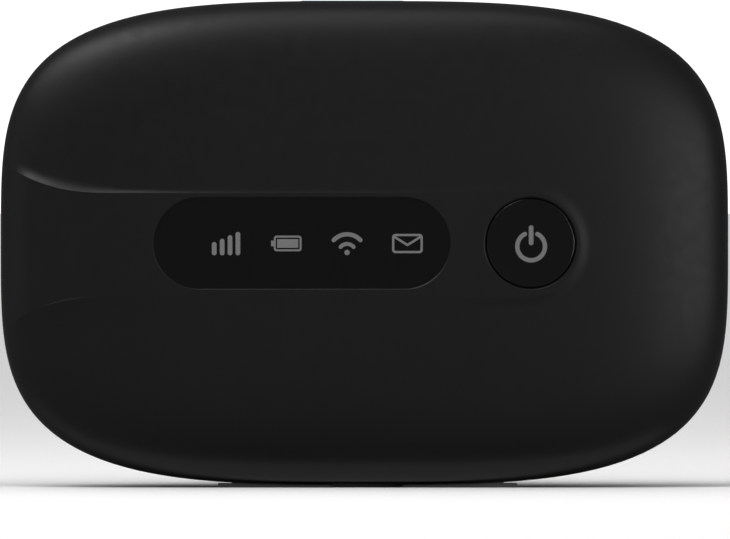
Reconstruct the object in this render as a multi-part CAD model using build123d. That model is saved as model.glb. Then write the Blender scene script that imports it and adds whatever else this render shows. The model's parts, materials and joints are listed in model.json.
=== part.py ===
from build123d import *
import math
import os

# Pocket mobile hotspot, standing upright on the strip around its charging port.
# +X is to the right seen from the front, -Y is the front face, and +Z is up.
# The origin is under the middle of the body, on the port strip's flat underside.
# Lengths are in millimetres. "Up" is a height above the middle of the face.

# Body outline seen from the front: a superellipse
HALF_WIDTH = 44.95
HALF_HEIGHT = 29.9
OUTLINE_POWER_X = 3.36
OUTLINE_POWER_Z = 3.76
OUTLINE_STEPS = 48
MEAN_POWER = 3.5
FOOT_DROP = 0.3
CENTRE_Z = FOOT_DROP + HALF_HEIGHT
GROUND = -CENTRE_Z

# Depths of the shells, front to back
BAND_Y = -7.0
FACE_Y = -6.85
PARTING_Y = -0.8
COVER_Y = 1.4
BACK_Y = 7.0
WALL = 1.2
COVER_GAP = 0.08

# Rounding of the shells: a higher number is a boxier edge
FRONT_SHARPNESS = 6
BAND_SHARPNESS = 18
REAR_SHARPNESS = 8
ROUNDING_ANGLES = range(0, 85, 6)

# Raised band across the front
BAND_UP = -0.15
BAND_HALF = 6.34
FLARE_START_X = -33.0
FLARE_END_X = -43.4
FLARE_RISE = 3.5
FLARE_POWER = 2.8
FLARE_STEPS = 6

# Display window
WINDOW_X = -7.73
WINDOW_LENGTH = 36.65
WINDOW_HEIGHT = 11.3
WINDOW_GAP = 0.05
LENS_FRONT = -6.8
LENS_BACK = -6.1
LEDGE_Y = -5.95
WINDOW_PAD_Y = -5.2
LEDGE_WIDTH = 1.22
PAD_BORDER = 1.15
SHIELD_FRONT = -5.15

# Icons, each about its own middle
SIGNAL_X = -17.06
BATTERY_ICON_X = -9.46
WIFI_X = -2.14
MESSAGE_X = 5.3
ICON_DEPTH = 0.3
GUIDE_PAD = (5.0, 4.4)
GUIDE_BAR = (33.0, 3.0)
SHIELD_SIZE = (34.4, 8.4)
SHIELD_CELL = (6.0, 6.0)
LED_SIZE = (1.6, 0.6, 0.8)

# Power button
BUTTON_X = 20.5
BUTTON_HOLE_RADIUS = 5.7
BUTTON_RADIUS = 5.55
BUTTON_FRONT = -6.85
FLANGE_FRONT = -5.6
FLANGE_BACK = -5.1
FLANGE_RADIUS = 6.25
GUIDE_INNER_RADIUS = 6.35
GUIDE_OUTER_RADIUS = 7.15
GUIDE_Y = -4.7
ICON_FLOOR_Y = -6.05
HOLLOW_RADIUS = 3.1
BRIDGE_HALF = 3.3
STEM_RADIUS = 1.1
PLUNGER_FRONT = -3.95
PLUNGER_RADIUS = 0.9
SWITCH_SIZE = 4.4
SWITCH_HEIGHT = 0.95

# Circuit board
BOARD_FRONT = -2.6
BOARD_BACK = -1.8
BOARD_INSET = 3.35
TAB_HALF = 8.0
TAB_BOTTOM = GROUND + 2.6
TAB_HEIGHT = 4.0
CHIP_HEIGHT = 0.75
MODEM_CAN = ((-24, 4), (1, 18))
RF_CAN = ((7, 25), (1, 18))
POWER_CAN = ((-24, 4), (-21, -8))
CAN_BACK = -0.6
CAN_METAL = 0.2
POWER_CAN_FRONT = -4.2
ANTENNA_X = 33.8
ANTENNA_FRONT = -4.1
FOIL = 0.15
WIFI_ANTENNA_X = (9, 24)
WIFI_ANTENNA_UP = (19.4, 21.6)
SPRING_X = 33.1
SPRING_UP = 13.2

# Screws and their bosses
BOSS_PLACES = ((-32, -16), (-32, 16), (32, -16), (32, 16))
BOSS_RADIUS = 2.0
BOSS_FRONT = -5.5
SCREW_RADIUS = 0.8
SCREW_HEAD_RADIUS = 1.5
SCREW_TIP_Y = -4.0
BOSS_HOLE_Y = -4.4

# Rear housing
FLOOR_FRONT = -0.4
FLOOR_BACK = 0.2
TONGUE_FRONT = -2.2
TONGUE_OUTER = 2.0
TONGUE_INNER = 2.9
TAB_DEPTHS = (0.35, 2.2)
SIDE_TAB_HALF = 3.0
EDGE_TAB_HALF = 2.5
TOP_TAB_X = 24
BOTTOM_TAB_X = 26
BAY_WALL = 1.0
BAY_BACK = 4.6
BAY_GAP = 0.3

# Battery
BATTERY_HALF_X = 26.0
BATTERY_HALF_UP = 19.0
BATTERY_FRONT = 0.35
BATTERY_BACK = 5.15
CAP_LENGTH = 3.0
CONTACT_UPS = (-6, -2, 2, 6)
CONTACT_Y = 2.8
CONTACT_SIZE = (2.4, 2.2)
CONTACT_THICKNESS = 0.3
CONNECTOR_X = (-30.3, -26.4)
CONNECTOR_BACK = 4.0
CONNECTOR_HALF_UP = 8.5
PIN_RADIUS = 0.5
PIN_LENGTH = 2.35

# Port strip and charging socket
STRIP_X = 0.4
STRIP_HALF = 16.8
STRIP_BACK = 3.4
STRIP_TOP = GROUND + 2.4
SHELF_HEIGHT = 1.4
FOOT_HALF = 18.5
FOOT_TOP = GROUND + 0.47
PORT_HALF = 4.3
PORT_FRONT = -2.1
PORT_BACK = 1.0
SOCKET_HALF = 3.75
SOCKET_BACK = 0.7
SOCKET_MOUTH = GROUND + 0.6
SOCKET_TOP = GROUND + 6.0

# WPS button in the top edge, and its side switch
WPS_X = -1.5
WPS_HALF = 6.45
WPS_FRONT = -0.3
WPS_BACK = 0.9
WPS_TOP = HALF_HEIGHT + 0.04
WPS_FLANGE_TOP = 28.55
WPS_FLANGE_BOTTOM = 27.75
WPS_PUSHER_BOTTOM = 27.3
WPS_ROOT_TOP = 29.2
WPS_SLOT_BOTTOM = 20.8
WPS_SWITCH_HALF = 2.25
WPS_SWITCH_UP = (24.5, 26.5)
WPS_SWITCH_BACK = -0.45
WPS_PLUNGER_HALF = 0.7
WPS_PLUNGER_Y = (-1.4, -0.7)
WPS_PLUNGER_BOTTOM = 25.9

# Reset switch
RESET_X = 33.5
RESET_HOLE_RADIUS = 0.9
RESET_SWITCH_BACK = -0.8
RESET_PLUNGER_RADIUS = 0.6
RESET_PLUNGER_Y = (-1.3, -0.45)

# SIM card and socket
CARD_X = (-23.4, 1.6)
CARD_Y = (-1.28, -0.52)
CARD_UP = (-17.0, -2.0)
SOCKET_X = (-24.0, -8.0)
SOCKET_UP = (-17.6, -1.4)
CARD_TRAVEL = 17.0
CARD_PADS_X = (4, 15)
CARD_PADS_UP = (-14.5, -4.5)
SOCKET_FLOOR_Y = -1.5
CAGE_BACK = -0.22
CAGE_METAL = 0.4
CAGE_LID = 0.2


# ---------------------------------------------------------------- helpers

def at_depth(sketch, y):
    """Stands up a sketch that was drawn about the middle of the face."""
    return Plane(origin=(0, y, CENTRE_Z), x_dir=(1, 0, 0), z_dir=(0, -1, 0)) * sketch


def slab(sketch, front, back):
    """The sketch as a plate from one depth to another."""
    return extrude(at_depth(sketch, back), amount=back - front)


def block(x, y, up):
    """A box from three pairs of limits."""
    middle = Pos((x[0] + x[1]) / 2, (y[0] + y[1]) / 2, CENTRE_Z + (up[0] + up[1]) / 2)
    return middle * Box(x[1] - x[0], y[1] - y[0], up[1] - up[0])


def rod(x, up, radius, front, back):
    """A round bar that runs front to back."""
    return slab(Pos(x, up) * Circle(radius), front, back)


def superellipse_radius(angle):
    """Distance from the middle to the unit outline in one direction, by halving."""
    low, high = 0.5, 1.5
    for _ in range(40):
        radius = (low + high) / 2
        across = abs(radius * math.cos(angle)) ** OUTLINE_POWER_X
        inside = across + abs(radius * math.sin(angle)) ** OUTLINE_POWER_Z < 1
        low, high = (radius, high) if inside else (low, radius)
    return low


def outline(inset=0.0, level=1.0):
    """The body outline, stepped in by inset, at one level of its rounding."""
    half_width = (HALF_WIDTH - inset) * level ** (1 / OUTLINE_POWER_X)
    half_height = (HALF_HEIGHT - inset) * level ** (1 / OUTLINE_POWER_Z)
    points = []
    for step in range(OUTLINE_STEPS):
        angle = 2 * math.pi * (step + 0.5) / OUTLINE_STEPS
        radius = superellipse_radius(angle)
        points.append((half_width * radius * math.cos(angle), half_height * radius * math.sin(angle)))
    return make_face(Spline(*points, periodic=True))


def pillow(rim_y, crown_y, inset, sharpness):
    """A solid whose flat rim rounds over to a nearly flat crown."""
    sections = []
    for degrees in ROUNDING_ANGLES:
        rise = math.sin(math.radians(degrees)) / math.sin(math.radians(ROUNDING_ANGLES[-1]))
        level = math.cos(math.radians(degrees)) ** (2 * MEAN_POWER / sharpness)
        sections.append(at_depth(outline(inset, level), rim_y + (crown_y - rim_y) * rise))
    return loft(sections)


def on_screws(make):
    """One piece at each screw place, joined."""
    pieces = [make(x, up) for x, up in BOSS_PLACES]
    joined = pieces[0]
    for piece in pieces[1:]:
        joined = joined + piece
    return joined


def open_can(x, up, board_y, lid_y):
    """A drawn steel can on the board, open towards it."""
    lid_inside = lid_y + math.copysign(CAN_METAL, board_y - lid_y)
    inside_x = (x[0] + CAN_METAL, x[1] - CAN_METAL)
    inside_up = (up[0] + CAN_METAL, up[1] - CAN_METAL)
    can = block(x, sorted((board_y, lid_y)), up)
    return can - block(inside_x, sorted((board_y, lid_inside)), inside_up)


# ---------------------------------------------------------------- icons

def signal_icon():
    """Four round-ended bars of rising height."""
    icon = Sketch()
    for x, top in ((-1.46, 0.13), (-0.48, 0.53), (0.49, 0.98), (1.46, 1.38)):
        height = top + 1.5
        icon += Pos(x, top - height / 2) * SlotOverall(height, 0.58, rotation=90)
    return icon


def battery_icon():
    """A battery outline with a full charge and its terminal on the left."""
    case = RectangleRounded(3.42, 1.93, 0.35) - RectangleRounded(2.94, 1.45, 0.15)
    charge = Rectangle(2.6, 1.08)
    terminal = Pos(-1.87, 0) * Rectangle(0.36, 0.7)
    return Pos(0, -0.04) * (case + charge + terminal)


def wifi_icon():
    """A dot under two arcs about it."""
    icon = Circle(0.33)
    for radius, stroke, half_angle in ((1.05, 0.48, 50), (2.24, 0.53, 47)):
        arc = CenterArc((0, 0), radius, 90 - half_angle, 2 * half_angle)
        icon += SlotArc(arc, stroke)
    return Pos(0, -1.15) * icon


def message_icon():
    """An envelope with its flap."""
    case = RectangleRounded(3.79, 2.38, 0.43) - RectangleRounded(3.23, 1.82, 0.2)
    flap = Sketch()
    for side in (-1, 1):
        tilt = math.degrees(math.atan2(0.97, 1.55)) * side
        flap += Pos(side * 0.775, 0.3) * SlotOverall(2.1, 0.28, rotation=tilt)
    return Pos(0, -0.05) * (case + flap)


def power_icon():
    """An open ring with a bar in its gap."""
    ring = SlotArc(CenterArc((0, 0), 1.71, 116.7, 306.6), 0.54)
    bar = Pos(0, 1.38) * SlotOverall(2.46, 0.58, rotation=90)
    return Pos(0.05, -0.41) * (ring + bar)


ICONS = {
    "signal_icon": (SIGNAL_X, signal_icon),
    "battery_icon": (BATTERY_ICON_X, battery_icon),
    "wifi_icon": (WIFI_X, wifi_icon),
    "message_icon": (MESSAGE_X, message_icon),
}


# ---------------------------------------------------------------- shells

def band_outline():
    """The band seen from the front: round at the right, flaring to the left edge."""
    upper = []
    for step in range(FLARE_STEPS + 1):
        share = step / FLARE_STEPS
        x = FLARE_START_X + share * (FLARE_END_X - FLARE_START_X)
        upper.append((x, BAND_HALF + FLARE_RISE * share ** FLARE_POWER))
    lower = [(x, -up) for x, up in reversed(upper)]
    past_edge = -HALF_WIDTH - 2
    far_up = upper[-1][1] + 2
    edges = Spline(*upper)
    edges += Polyline(upper[-1], (past_edge, far_up), (past_edge, -far_up), lower[0])
    edges += Spline(*lower)
    edges += Line(lower[-1], (BUTTON_X, -BAND_HALF))
    edges += CenterArc((BUTTON_X, 0), BAND_HALF, -90, 180)
    edges += Line((BUTTON_X, BAND_HALF), upper[0])
    return Pos(0, BAND_UP) * make_face(edges)


def window_outline(grow):
    """The window's stadium, grown all round."""
    return Pos(WINDOW_X, 0) * SlotOverall(WINDOW_LENGTH + 2 * grow, WINDOW_HEIGHT + 2 * grow)


def across_strip(half):
    """Limits in x about the middle of the port strip."""
    return (STRIP_X - half, STRIP_X + half)


def strip_space(gap):
    """The space that the port strip and its foot plate fill, grown by a gap."""
    y = (PARTING_Y, STRIP_BACK + gap)
    foot = block(across_strip(FOOT_HALF + gap), y, (GROUND - 1, FOOT_TOP + gap))
    return foot + block(across_strip(STRIP_HALF + gap), y, (GROUND - 1, STRIP_TOP + gap))


def port_opening():
    """The hole for the charging plug, half in the front shell and half in the strip."""
    return block(across_strip(PORT_HALF), (PORT_FRONT, PORT_BACK), (GROUND - 1, STRIP_TOP + 1))


def front_shell():
    """Front half of the case, with the raised band, window seat, button hole and bosses."""
    body = pillow(PARTING_Y, FACE_Y, 0, FRONT_SHARPNESS)
    band = slab(band_outline(), BAND_Y - 1, PARTING_Y) & pillow(PARTING_Y, BAND_Y, 0, BAND_SHARPNESS)
    cavity = pillow(PARTING_Y, FACE_Y + WALL, WALL, FRONT_SHARPNESS)
    shell = body + band - cavity
    buried = FACE_Y + WALL - 0.3
    shell += slab(window_outline(PAD_BORDER), buried, WINDOW_PAD_Y)
    guide = Circle(GUIDE_OUTER_RADIUS) - Circle(GUIDE_INNER_RADIUS)
    shell += slab(Pos(BUTTON_X, 0) * guide, buried, GUIDE_Y)
    shell += on_screws(lambda x, up: rod(x, up, BOSS_RADIUS, BOSS_FRONT, FLOOR_FRONT))
    shell -= slab(window_outline(0), BAND_Y - 1, LEDGE_Y)
    shell -= slab(window_outline(-LEDGE_WIDTH), LEDGE_Y - 1, WINDOW_PAD_Y + 1)
    shell -= rod(BUTTON_X, 0, BUTTON_HOLE_RADIUS, BAND_Y - 1, GUIDE_Y)
    shell -= rod(BUTTON_X, 0, GUIDE_INNER_RADIUS, FLANGE_FRONT - 0.05, GUIDE_Y)
    shell -= on_screws(lambda x, up: rod(x, up, SCREW_RADIUS, BOSS_HOLE_Y, FLOOR_FRONT + 1))
    return shell - port_opening()


def rear_rim():
    """The visible part of the rear housing, between the front shell and the back cover."""
    outer = pillow(PARTING_Y, BACK_Y, 0, REAR_SHARPNESS)
    side = HALF_WIDTH + 5
    keep = block((-side, side), (PARTING_Y, COVER_Y), (-side, side))
    return (outer & keep) - slab(outline(WALL + 0.1), PARTING_Y, COVER_Y)


def bay_outline(grow):
    """The battery bay seen from behind, grown all round."""
    return Rectangle(2 * (BATTERY_HALF_X + BAY_GAP + grow), 2 * (BATTERY_HALF_UP + BAY_GAP + grow))


def rear_housing():
    """Mid frame: rim, floor, battery bay and the shelf behind the port strip."""
    tongue = slab(outline(TONGUE_OUTER) - outline(TONGUE_INNER), TONGUE_FRONT, FLOOR_FRONT + 0.3)
    floor = slab(outline(WALL + 0.05), FLOOR_FRONT, FLOOR_BACK)
    bay = slab(bay_outline(BAY_WALL) - bay_outline(0), FLOOR_BACK - 0.1, BAY_BACK)
    shelf_up = (STRIP_TOP - 0.4, STRIP_TOP + SHELF_HEIGHT)
    shelf = block(across_strip(STRIP_HALF - 0.6), (FLOOR_FRONT, STRIP_BACK - 0.2), shelf_up)
    housing = rear_rim() + tongue + floor + bay + shelf
    housing -= strip_space(0)
    # Room for the charging socket and the board's tab
    socket_up = (GROUND, SOCKET_TOP + 0.2)
    housing -= block(across_strip(SOCKET_HALF + 0.2), (BOARD_BACK, SOCKET_BACK + 0.1), socket_up)
    tab_up = (TAB_BOTTOM - 0.6, TAB_BOTTOM + TAB_HEIGHT - 1.6)
    housing -= block(across_strip(TAB_HALF + 0.3), (TONGUE_FRONT - 1, BOARD_BACK + 0.1), tab_up)
    # Slot for the WPS button, room for its flange, and room for its switch
    slot_x = (WPS_X - WPS_HALF - 0.1, WPS_X + WPS_HALF + 0.1)
    housing -= block(slot_x, (WPS_FRONT - 0.1, WPS_BACK + 0.1), (WPS_SLOT_BOTTOM, HALF_HEIGHT + 1))
    flange_x = (slot_x[0] - 1.3, slot_x[1] + 1.3)
    flange_up = (WPS_SWITCH_UP[1], WPS_FLANGE_TOP + 0.05)
    housing -= block(flange_x, (TONGUE_FRONT - 0.1, WPS_BACK + 0.25), flange_up)
    # Pin hole over the reset switch
    housing -= rod(RESET_X, 0, RESET_HOLE_RADIUS, FLOOR_FRONT - 1, FLOOR_BACK + 1)
    # Way in for the SIM card, and the gap for the battery connector
    path_x = (SOCKET_X[0] - 0.4, CARD_X[1] + CARD_TRAVEL + 0.9)
    housing -= block(path_x, (FLOOR_FRONT - 1, FLOOR_BACK + 0.05), (SOCKET_UP[0] - 0.3, SOCKET_UP[1] + 0.3))
    gap_x = (CONNECTOR_X[0] - 0.3, CONNECTOR_X[1] + 0.2)
    gap_up = (-CONNECTOR_HALF_UP - 0.3, CONNECTOR_HALF_UP + 0.3)
    housing -= block(gap_x, (FLOOR_FRONT - 1, BAY_BACK + 1), gap_up)
    return housing - on_screws(lambda x, up: rod(x, up, SCREW_RADIUS + 0.15, FLOOR_FRONT - 1, 1))


def snap_tabs():
    """Six tabs that push down inside the rim."""
    ring = slab(outline(WALL + 0.25) - outline(WALL + 1.0), *TAB_DEPTHS)
    reach = HALF_WIDTH + 5
    keep = block((-reach, reach), TAB_DEPTHS, (-SIDE_TAB_HALF, SIDE_TAB_HALF))
    for x, limits in ((TOP_TAB_X, (0, reach)), (BOTTOM_TAB_X, (-reach, 0))):
        for side in (-1, 1):
            keep += block((side * x - EDGE_TAB_HALF, side * x + EDGE_TAB_HALF), TAB_DEPTHS, limits)
    return ring & keep


def back_cover():
    """Battery cover: a thin pillow shell with snap tabs, notched round the port strip."""
    outer = pillow(PARTING_Y, BACK_Y, 0, REAR_SHARPNESS)
    inner = pillow(PARTING_Y, BACK_Y - WALL, WALL, REAR_SHARPNESS)
    side = HALF_WIDTH + 5
    ahead = block((-side, side), (PARTING_Y - 1, COVER_Y + COVER_GAP), (-side, side))
    cover = outer - inner - ahead + snap_tabs()
    notch_up = (GROUND, STRIP_TOP + SHELF_HEIGHT + 0.3)
    cover -= block(across_strip(STRIP_HALF + 0.2), (PARTING_Y, STRIP_BACK + 0.2), notch_up)
    return cover - strip_space(0.2)


def port_strip():
    """Flat foot plate that the device stands on, with a block that fills the case's notch."""
    face = Pos(STRIP_X, (GROUND + FOOT_TOP) / 2) * RectangleRounded(2 * FOOT_HALF, FOOT_TOP - GROUND, 0.15)
    plug = block(across_strip(STRIP_HALF), (PARTING_Y, STRIP_BACK), (GROUND + 0.1, STRIP_TOP))
    return slab(face, PARTING_Y, STRIP_BACK) + plug - port_opening()


# ---------------------------------------------------------------- window and lights

def display_window():
    """Gloss lens with shallow recesses for the icons."""
    lens = slab(window_outline(-WINDOW_GAP), LENS_FRONT, LENS_BACK)
    for x, icon in ICONS.values():
        lens -= slab(Pos(x, 0) * icon(), LENS_FRONT - 1, LENS_FRONT + ICON_DEPTH)
    return lens


def window_adhesive():
    """Ring of adhesive between the lens and its ledge."""
    ring = window_outline(-WINDOW_GAP - 0.1) - window_outline(-LEDGE_WIDTH)
    return slab(ring, LENS_BACK, LEDGE_Y)


def icon_inlay(x, icon):
    """Pale plastic marks that fill one icon's recess flush with the lens."""
    return slab(Pos(x, 0) * icon(), LENS_FRONT, LENS_FRONT + ICON_DEPTH)


def light_guide():
    """Clear strip behind the lens, with a thick pad behind each icon."""
    guide = slab(Pos(WINDOW_X, 0) * SlotOverall(*GUIDE_BAR), LENS_BACK, LENS_BACK + 0.3)
    for x, _ in ICONS.values():
        guide += slab(Pos(x, 0) * RectangleRounded(*GUIDE_PAD, 0.6), LENS_BACK, WINDOW_PAD_Y)
    return guide


def light_shield():
    """Black block that keeps each icon's light apart."""
    shield = slab(Pos(WINDOW_X, 0) * RectangleRounded(*SHIELD_SIZE, 1.5), SHIELD_FRONT, BOARD_FRONT)
    for x, _ in ICONS.values():
        shield -= slab(Pos(x, 0) * RectangleRounded(*SHIELD_CELL, 0.5), SHIELD_FRONT - 1, BOARD_FRONT + 1)
    return shield


def leds(places):
    """Small surface-mounted LEDs on the front of the board."""
    width, height, depth = LED_SIZE
    y = (BOARD_FRONT - height, BOARD_FRONT)
    return [block((x - width / 2, x + width / 2), y, (-depth / 2, depth / 2)) for x in places]


# ---------------------------------------------------------------- buttons and switches

def power_button_cap():
    """Round key with a retaining flange and a stem on a bridge across its hollow."""
    disc = rod(BUTTON_X, 0, BUTTON_RADIUS, BUTTON_FRONT, FLANGE_FRONT)
    disc = fillet(disc.edges().sort_by(Axis.Y)[0], 0.3)
    cap = disc + rod(BUTTON_X, 0, FLANGE_RADIUS, FLANGE_FRONT, FLANGE_BACK)
    cap -= slab(Pos(BUTTON_X, 0) * power_icon(), BUTTON_FRONT - 1, FLANGE_FRONT)
    cap -= rod(BUTTON_X, 0, HOLLOW_RADIUS, ICON_FLOOR_Y, FLANGE_BACK)
    cap += block((BUTTON_X - BRIDGE_HALF, BUTTON_X + BRIDGE_HALF), (FLANGE_BACK - 0.4, FLANGE_BACK), (-1, 1))
    return cap + rod(BUTTON_X, 0, STEM_RADIUS, FLANGE_BACK - 0.1, PLUNGER_FRONT)


def power_icon_insert():
    """Clear plastic that fills the power icon."""
    face = slab(Pos(BUTTON_X, 0) * power_icon(), BUTTON_FRONT, ICON_FLOOR_Y)
    return face + rod(BUTTON_X, 0, HOLLOW_RADIUS - 0.1, ICON_FLOOR_Y, ICON_FLOOR_Y + 0.4)


def power_switch_body():
    """Tact switch under the power button."""
    face = Pos(BUTTON_X, 0) * RectangleRounded(SWITCH_SIZE, SWITCH_SIZE, 0.4)
    body = slab(face, BOARD_FRONT - SWITCH_HEIGHT, BOARD_FRONT)
    return body - rod(BUTTON_X, 0, PLUNGER_RADIUS + 0.05, BOARD_FRONT - 2, BOARD_FRONT - 0.25)


def power_switch_plunger():
    """Round pusher of the power button's switch."""
    return rod(BUTTON_X, 0, PLUNGER_RADIUS, PLUNGER_FRONT, BOARD_FRONT - 0.7)


def wps_button_cap():
    """Narrow bar key with a flange inside the rim and a pusher over its switch."""
    face = RectangleRounded(2 * WPS_HALF, WPS_TOP - WPS_FLANGE_TOP, 0.25)
    bar = slab(Pos(WPS_X, (WPS_TOP + WPS_FLANGE_TOP) / 2) * face, WPS_FRONT, WPS_BACK)
    root_up = (WPS_FLANGE_TOP - 0.1, WPS_ROOT_TOP)
    root = block((WPS_X - WPS_HALF, WPS_X + WPS_HALF), (WPS_FRONT, WPS_BACK), root_up)
    flange_x = (WPS_X - WPS_HALF - 0.8, WPS_X + WPS_HALF + 0.8)
    flange = block(flange_x, (-1.0, WPS_BACK + 0.15), (WPS_FLANGE_BOTTOM, WPS_FLANGE_TOP))
    pusher = block((WPS_X - 0.8, WPS_X + 0.8), (-1.0, 0), (WPS_PUSHER_BOTTOM, WPS_FLANGE_BOTTOM))
    return bar + root + flange + pusher


def wps_switch_body():
    """Side tact switch on the back of the board, at its top edge."""
    x = (WPS_X - WPS_SWITCH_HALF, WPS_X + WPS_SWITCH_HALF)
    body = block(x, (BOARD_BACK, WPS_SWITCH_BACK), WPS_SWITCH_UP)
    guide = WPS_PLUNGER_HALF + 0.05
    guide_y = (WPS_PLUNGER_Y[0] - 0.05, WPS_PLUNGER_Y[1] + 0.05)
    guide_up = (WPS_PLUNGER_BOTTOM - 0.5, WPS_SWITCH_UP[1] + 1)
    return body - block((WPS_X - guide, WPS_X + guide), guide_y, guide_up)


def wps_switch_plunger():
    """Flat pusher of the WPS button's switch."""
    x = (WPS_X - WPS_PLUNGER_HALF, WPS_X + WPS_PLUNGER_HALF)
    return block(x, WPS_PLUNGER_Y, (WPS_PLUNGER_BOTTOM, WPS_PUSHER_BOTTOM))


def reset_switch_body():
    """Small tact switch behind the pin hole."""
    body = block((RESET_X - 1.5, RESET_X + 1.5), (BOARD_BACK, RESET_SWITCH_BACK), (-1.5, 1.5))
    return body - rod(RESET_X, 0, RESET_PLUNGER_RADIUS + 0.05, BOARD_BACK + 0.15, 0)


def reset_switch_plunger():
    """Round pusher under the pin hole."""
    return rod(RESET_X, 0, RESET_PLUNGER_RADIUS, *RESET_PLUNGER_Y)


# ---------------------------------------------------------------- electronics

def main_board():
    """Circuit board with a tab under the charging socket and holes for the bosses."""
    tab = Pos(STRIP_X, TAB_BOTTOM + TAB_HEIGHT / 2) * Rectangle(2 * TAB_HALF, TAB_HEIGHT)
    board = slab(outline(BOARD_INSET) + tab, BOARD_FRONT, BOARD_BACK)
    return board - on_screws(lambda x, up: rod(x, up, BOSS_RADIUS + 0.15, BOARD_FRONT - 1, BOARD_BACK + 1))


def chip(x, up, size_x, size_up, height, front=False):
    """A flat package on the board."""
    y = (BOARD_FRONT - height, BOARD_FRONT) if front else (BOARD_BACK, BOARD_BACK + height)
    return block((x - size_x / 2, x + size_x / 2), y, (up - size_up / 2, up + size_up / 2))


def power_amplifiers():
    """Three small packages side by side in the RF can."""
    return [chip(x, 5.4, 4, 4.5, CHIP_HEIGHT) for x in (11, 16, 21)]


def board_passives():
    """Capacitors and coils in rows on the front of the board."""
    parts = []
    for column in range(6):
        for row in range(4):
            parts.append(chip(9 + 3.1 * column, -11 - 2.8 * row, 1.5, 0.8, 0.6, front=True))
    return parts


def rf_test_sockets():
    """Two round coaxial test points."""
    sockets = []
    for x in (-14, -4):
        socket = rod(x, 15, 1.1, BOARD_FRONT - 1.3, BOARD_FRONT)
        sockets.append(socket - rod(x, 15, 0.7, BOARD_FRONT - 2, BOARD_FRONT - 0.5))
    return sockets


def usb_socket_shell():
    """Micro USB socket shell, open at the bottom, with its lower corners cut."""
    width, depth = 2 * SOCKET_HALF, SOCKET_BACK - BOARD_BACK
    outer = Trapezoid(width, depth, 68, rotation=180) + Pos(0, depth / 4) * Rectangle(width, depth / 2)
    shell = Pos(STRIP_X, (BOARD_BACK + SOCKET_BACK) / 2, CENTRE_Z + SOCKET_MOUTH) * extrude(
        outer, amount=SOCKET_TOP - SOCKET_MOUTH
    )
    inner = offset(outer, amount=-0.3, kind=Kind.INTERSECTION)
    hollow = Pos(STRIP_X, (BOARD_BACK + SOCKET_BACK) / 2, CENTRE_Z + SOCKET_MOUTH - 1) * extrude(
        inner, amount=SOCKET_TOP - SOCKET_MOUTH + 0.4
    )
    return shell - hollow


def usb_socket_tongue():
    """Insulating tongue that carries the contacts."""
    y = (BOARD_BACK + SOCKET_BACK) / 2
    back = block((STRIP_X - 2.4, STRIP_X + 2.4), (y - 0.8, y + 0.8), (SOCKET_TOP - 1.6, SOCKET_TOP - 0.6))
    blade = block((STRIP_X - 1.9, STRIP_X + 1.9), (y - 0.1, y + 0.4), (SOCKET_MOUTH + 0.8, SOCKET_TOP - 1.2))
    return back + blade


def usb_contacts():
    """Five contact strips on the tongue."""
    y = (BOARD_BACK + SOCKET_BACK) / 2 - 0.1
    strips = []
    for place in range(-2, 3):
        x = STRIP_X + 0.65 * place
        strips.append(block((x - 0.16, x + 0.16), (y - 0.1, y), (SOCKET_MOUTH + 1.0, SOCKET_TOP - 1.6)))
    return strips


def antenna_carrier(x):
    """Plastic block that holds an antenna off the board."""
    return slab(Pos(x, 0) * RectangleRounded(5.6, 24, 1.0), ANTENNA_FRONT, BOARD_FRONT)


def antenna_trace(x):
    """Meandering metal foil on a carrier."""
    foil = Pos(x - 1.9, 0) * Rectangle(0.8, 21.4)
    for step in range(5):
        up = -9.2 + 4.6 * step
        foil += Pos(x + 0.2, up) * Rectangle(4.0, 1.2)
        if step < 4:
            foil += Pos(x + 1.9, up + 1.6) * Rectangle(0.6, 4.0)
    return slab(foil, ANTENNA_FRONT - FOIL, ANTENNA_FRONT)


def wifi_antenna():
    """Bent metal strip that stands on the board by two legs."""
    start = WIFI_ANTENNA_X[0]
    strip = block(WIFI_ANTENNA_X, (-4.2, -3.9), WIFI_ANTENNA_UP)
    for x in (start, start + 4):
        strip += block((x, x + 0.3), (-4.0, BOARD_FRONT), WIFI_ANTENNA_UP)
    return strip


def antenna_springs():
    """Sprung clips between the board and the antenna foils."""
    clips = []
    for x in (-SPRING_X, SPRING_X):
        for up in (-SPRING_UP, SPRING_UP):
            foot = block((x - 0.6, x + 0.6), (BOARD_FRONT - 0.2, BOARD_FRONT), (up - 0.9, up + 0.9))
            arm = block((x - 0.6, x + 0.6), (-4.2, BOARD_FRONT), (up + 0.7, up + 0.9))
            tip = block((x - 0.6, x + 0.6), (-4.2, -4.0), (up - 0.6, up + 0.9))
            clips.append(foot + arm + tip)
    return clips


# ---------------------------------------------------------------- battery and SIM

def battery_cell():
    """Wrapped cell, rounded along its long edges."""
    x = (-BATTERY_HALF_X + CAP_LENGTH, BATTERY_HALF_X)
    cell = block(x, (BATTERY_FRONT, BATTERY_BACK), (-BATTERY_HALF_UP, BATTERY_HALF_UP))
    return fillet(cell.edges().filter_by(Axis.X), 1.2)


def battery_end_cap():
    """Plastic end of the battery, with pockets for its contacts."""
    x = (-BATTERY_HALF_X, -BATTERY_HALF_X + CAP_LENGTH)
    cap = block(x, (BATTERY_FRONT, BATTERY_BACK), (-BATTERY_HALF_UP, BATTERY_HALF_UP))
    cap = fillet(cap.edges().filter_by(Axis.X), 1.2)
    for pad in battery_contacts():
        cap -= pad
    return cap


def battery_contacts():
    """Four gold pads in the battery's end."""
    x = (-BATTERY_HALF_X, -BATTERY_HALF_X + CONTACT_THICKNESS)
    half_y, half_up = CONTACT_SIZE[0] / 2, CONTACT_SIZE[1] / 2
    y = (CONTACT_Y - half_y, CONTACT_Y + half_y)
    return [block(x, y, (up - half_up, up + half_up)) for up in CONTACT_UPS]


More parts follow.
